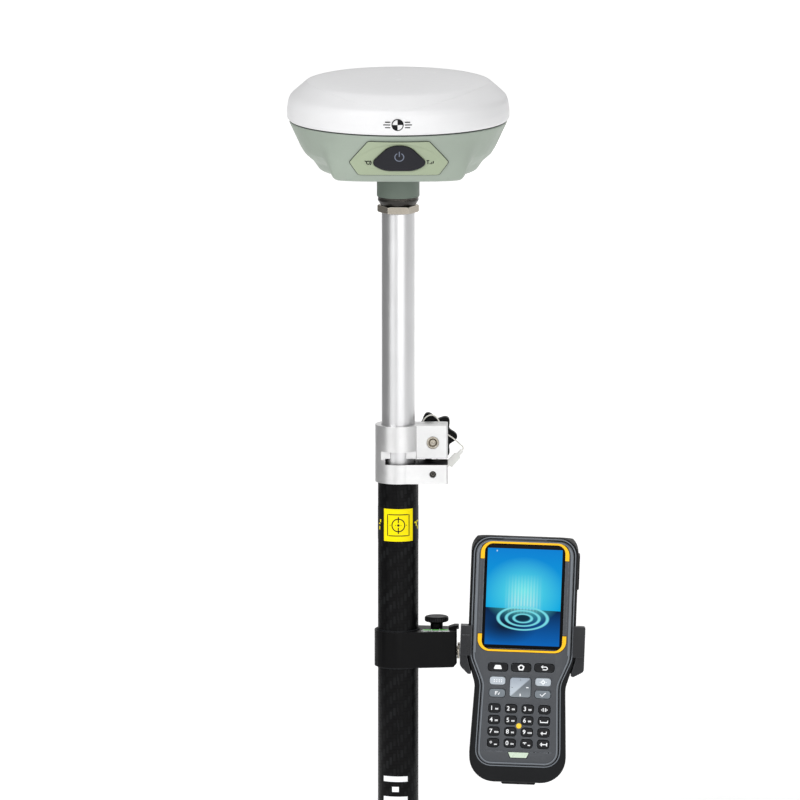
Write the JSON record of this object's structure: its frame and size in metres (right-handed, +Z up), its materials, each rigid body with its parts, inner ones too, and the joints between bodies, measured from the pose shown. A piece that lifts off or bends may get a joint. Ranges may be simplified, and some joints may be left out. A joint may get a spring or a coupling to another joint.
{
  "type": "gnss receiver rover",
  "caption": "Satellite survey receiver on a telescoping pole section, with a clamp, a pole bracket and a spring cradle that holds a handheld controller.",
  "frame": {"origin": "on the pole axis, at the shoulder plane of the lower screw joint where the next pole section seats", "axes": "+Z up along the pole, -Y towards the operator who reads the controller, +X towards the side the controller hangs on"},
  "size_m": [0.262, 0.195, 0.7017],
  "materials": {
    "carbon": "woven carbon tube under clear gloss",
    "black_metal": "black anodised satin",
    "aluminium": "fine satin anodised",
    "nickel": "nickel plated, turned",
    "black_plastic": "black moulded, fine texture",
    "rubber": "soft black overmould",
    "white_plastic": "white nylon",
    "white": "white moulded radome, fine texture",
    "green": "sage green satin paint",
    "green_dark": "darker green satin paint",
    "green_light": "pale green moulded",
    "button": "dark rubberised button",
    "board": "green circuit board",
    "face_grey": "dark grey moulded, fine texture",
    "key_dark": "black key with pale marks",
    "key_pale": "silver grey key",
    "glass": "clear cover glass",
    "display": "lit blue screen",
    "vial": "green level vial"
  },
  "bodies": {
    "pole": {"lower_tube": "carbon", "joint_ferrule": "black_metal", "clamp_block": "aluminium", "clamp_nut": "nickel", "tag_string": "white_plastic", "tag_toggle": "white_plastic"},
    "clamp_knob": {"clamp_screw": "nickel", "clamp_knob": "black_plastic"},
    "extension": {"upper_tube": "aluminium", "tube_foot": "black_plastic", "top_fitting": "nickel", "lock_nut": "nickel"},
    "head": {"spacer_ring": "black_plastic", "mount_neck": "green_dark", "base_housing": "green", "seal_ring": "black_plastic", "radome": "white", "front_bezel": "green_light", "antenna_element": "board", "main_board": "board"},
    "power_button": {"power_button": "button"},
    "port_cover": {"port_cover": "black_plastic"},
    "bracket_liner": {"bracket_liner": "rubber"},
    "bracket": {"bracket_clamp": "black_plastic", "bubble_level": "vial"},
    "bracket_knob": {"bracket_knob": "black_plastic"},
    "cradle": {"cradle_plate": "black_plastic", "jaw_guide": "black_metal", "swivel_pin": "nickel"},
    "sliding_jaw": {"sliding_jaw": "black_plastic"},
    "controller": {"controller_case": "rubber", "controller_face": "face_grey", "screen_window": "glass", "display_panel": "display", "keypad_mat": "rubber", "controller_battery": "black_plastic"},
    "key_soft_0": {"key_soft_0": "key_dark"},
    "key_soft_1": {"key_soft_1": "key_dark"},
    "key_soft_2": {"key_soft_2": "key_dark"},
    "key_side_0": {"key_side_0": "key_pale"},
    "key_side_1": {"key_side_1": "key_pale"},
    "key_side_2": {"key_side_2": "key_pale"},
    "key_side_3": {"key_side_3": "key_pale"},
    "key_pad": {"key_pad": "key_pale"},
    "key_digit_00": {"key_digit_00": "key_dark"},
    "key_digit_01": {"key_digit_01": "key_dark"},
    "key_digit_02": {"key_digit_02": "key_dark"},
    "key_digit_03": {"key_digit_03": "key_dark"},
    "key_digit_10": {"key_digit_10": "key_dark"},
    "key_digit_11": {"key_digit_11": "key_dark"},
    "key_digit_12": {"key_digit_12": "key_dark"},
    "key_digit_13": {"key_digit_13": "key_dark"},
    "key_digit_20": {"key_digit_20": "key_dark"},
    "key_digit_21": {"key_digit_21": "key_dark"},
    "key_digit_22": {"key_digit_22": "key_dark"},
    "key_digit_23": {"key_digit_23": "key_dark"},
    "key_digit_30": {"key_digit_30": "key_dark"},
    "key_digit_31": {"key_digit_31": "key_dark"},
    "key_digit_32": {"key_digit_32": "key_dark"},
    "key_digit_33": {"key_digit_33": "key_dark"}
  },
  "joints": [
    {"name": "bracket_slide", "type": "slide", "parent": "pole", "child": "bracket_liner", "axis": [0, 0, 1], "range_m": [-0.1, 0.03]},
    {"name": "bracket_turn", "type": "hinge", "parent": "bracket_liner", "child": "bracket", "pos_m": [0, 0, 0.18], "axis": [0, 0, 1], "continuous": true},
    {"name": "cradle_tilt", "type": "hinge", "parent": "bracket", "child": "cradle", "pos_m": [0.05336, 0, 0.17751], "axis": [0.9993, 0, -0.0366], "range_deg": [-90, 90]},
    {"name": "controller_lift", "type": "slide", "parent": "cradle", "child": "controller", "axis": [0.0366, 0, 0.9993], "range_m": [0, 0.14]},
    {"name": "extension_slide", "type": "slide", "parent": "pole", "child": "extension", "axis": [0, 0, 1], "range_m": [-0.1, 0.1]},
    {"name": "head_turn", "type": "hinge", "parent": "extension", "child": "head", "pos_m": [0, 0, 0.58], "axis": [0, 0, 1], "continuous": true},
    {"name": "clamp_knob_turn", "type": "hinge", "parent": "pole", "child": "clamp_knob", "pos_m": [0.0304, 0, 0.3645], "axis": [0, 1, 0], "continuous": true},
    {"name": "bracket_knob_turn", "type": "hinge", "parent": "bracket", "child": "bracket_knob", "pos_m": [0.0338, 0.002, 0.19], "axis": [0, 0, 1], "continuous": true},
    {"name": "jaw_slide", "type": "slide", "parent": "cradle", "child": "sliding_jaw", "axis": [0.9993, 0, -0.0366], "range_m": [0, 0.008], "stiffness_N_per_m": 600, "springref_m": -0.006},
    {"name": "port_cover_hinge", "type": "hinge", "parent": "head", "child": "port_cover", "pos_m": [0, 0.0816, 0.62077], "axis": [-1, 0, 0], "range_deg": [0, 110]},
    {"name": "power_button_press", "type": "slide", "parent": "head", "child": "power_button", "axis": [0, 1, 0], "range_m": [0, 0.001], "stiffness_N_per_m": 600, "springref_m": -0.001},
    {"name": "key_soft_0_press", "type": "slide", "parent": "controller", "child": "key_soft_0", "axis": [0, 1, 0], "range_m": [0, 0.0008], "stiffness_N_per_m": 500, "springref_m": -0.0008},
    {"name": "key_soft_1_press", "type": "slide", "parent": "controller", "child": "key_soft_1", "axis": [0, 1, 0], "range_m": [0, 0.0008], "stiffness_N_per_m": 500, "springref_m": -0.0008},
    {"name": "key_soft_2_press", "type": "slide", "parent": "controller", "child": "key_soft_2", "axis": [0, 1, 0], "range_m": [0, 0.0008], "stiffness_N_per_m": 500, "springref_m": -0.0008},
    {"name": "key_side_0_press", "type": "slide", "parent": "controller", "child": "key_side_0", "axis": [0, 1, 0], "range_m": [0, 0.0008], "stiffness_N_per_m": 500, "springref_m": -0.0008},
    {"name": "key_side_1_press", "type": "slide", "parent": "controller", "child": "key_side_1", "axis": [0, 1, 0], "range_m": [0, 0.0008], "stiffness_N_per_m": 500, "springref_m": -0.0008},
    {"name": "key_side_2_press", "type": "slide", "parent": "controller", "child": "key_side_2", "axis": [0, 1, 0], "range_m": [0, 0.0008], "stiffness_N_per_m": 500, "springref_m": -0.0008},
    {"name": "key_side_3_press", "type": "slide", "parent": "controller", "child": "key_side_3", "axis": [0, 1, 0], "range_m": [0, 0.0008], "stiffness_N_per_m": 500, "springref_m": -0.0008},
    {"name": "key_pad_press", "type": "slide", "parent": "controller", "child": "key_pad", "axis": [0, 1, 0], "range_m": [0, 0.0008], "stiffness_N_per_m": 500, "springref_m": -0.0008},
    {"name": "key_digit_00_press", "type": "slide", "parent": "controller", "child": "key_digit_00", "axis": [0, 1, 0], "range_m": [0, 0.0008], "stiffness_N_per_m": 500, "springref_m": -0.0008},
    {"name": "key_digit_01_press", "type": "slide", "parent": "controller", "child": "key_digit_01", "axis": [0, 1, 0], "range_m": [0, 0.0008], "stiffness_N_per_m": 500, "springref_m": -0.0008},
    {"name": "key_digit_02_press", "type": "slide", "parent": "controller", "child": "key_digit_02", "axis": [0, 1, 0], "range_m": [0, 0.0008], "stiffness_N_per_m": 500, "springref_m": -0.0008},
    {"name": "key_digit_03_press", "type": "slide", "parent": "controller", "child": "key_digit_03", "axis": [0, 1, 0], "range_m": [0, 0.0008], "stiffness_N_per_m": 500, "springref_m": -0.0008},
    {"name": "key_digit_10_press", "type": "slide", "parent": "controller", "child": "key_digit_10", "axis": [0, 1, 0], "range_m": [0, 0.0008], "stiffness_N_per_m": 500, "springref_m": -0.0008},
    {"name": "key_digit_11_press", "type": "slide", "parent": "controller", "child": "key_digit_11", "axis": [0, 1, 0], "range_m": [0, 0.0008], "stiffness_N_per_m": 500, "springref_m": -0.0008},
    {"name": "key_digit_12_press", "type": "slide", "parent": "controller", "child": "key_digit_12", "axis": [0, 1, 0], "range_m": [0, 0.0008], "stiffness_N_per_m": 500, "springref_m": -0.0008},
    {"name": "key_digit_13_press", "type": "slide", "parent": "controller", "child": "key_digit_13", "axis": [0, 1, 0], "range_m": [0, 0.0008], "stiffness_N_per_m": 500, "springref_m": -0.0008},
    {"name": "key_digit_20_press", "type": "slide", "parent": "controller", "child": "key_digit_20", "axis": [0, 1, 0], "range_m": [0, 0.0008], "stiffness_N_per_m": 500, "springref_m": -0.0008},
    {"name": "key_digit_21_press", "type": "slide", "parent": "controller", "child": "key_digit_21", "axis": [0, 1, 0], "range_m": [0, 0.0008], "stiffness_N_per_m": 500, "springref_m": -0.0008},
    {"name": "key_digit_22_press", "type": "slide", "parent": "controller", "child": "key_digit_22", "axis": [0, 1, 0], "range_m": [0, 0.0008], "stiffness_N_per_m": 500, "springref_m": -0.0008},
    {"name": "key_digit_23_press", "type": "slide", "parent": "controller", "child": "key_digit_23", "axis": [0, 1, 0], "range_m": [0, 0.0008], "stiffness_N_per_m": 500, "springref_m": -0.0008},
    {"name": "key_digit_30_press", "type": "slide", "parent": "controller", "child": "key_digit_30", "axis": [0, 1, 0], "range_m": [0, 0.0008], "stiffness_N_per_m": 500, "springref_m": -0.0008},
    {"name": "key_digit_31_press", "type": "slide", "parent": "controller", "child": "key_digit_31", "axis": [0, 1, 0], "range_m": [0, 0.0008], "stiffness_N_per_m": 500, "springref_m": -0.0008},
    {"name": "key_digit_32_press", "type": "slide", "parent": "controller", "child": "key_digit_32", "axis": [0, 1, 0], "range_m": [0, 0.0008], "stiffness_N_per_m": 500, "springref_m": -0.0008},
    {"name": "key_digit_33_press", "type": "slide", "parent": "controller", "child": "key_digit_33", "axis": [0, 1, 0], "range_m": [0, 0.0008], "stiffness_N_per_m": 500, "springref_m": -0.0008}
  ]
}
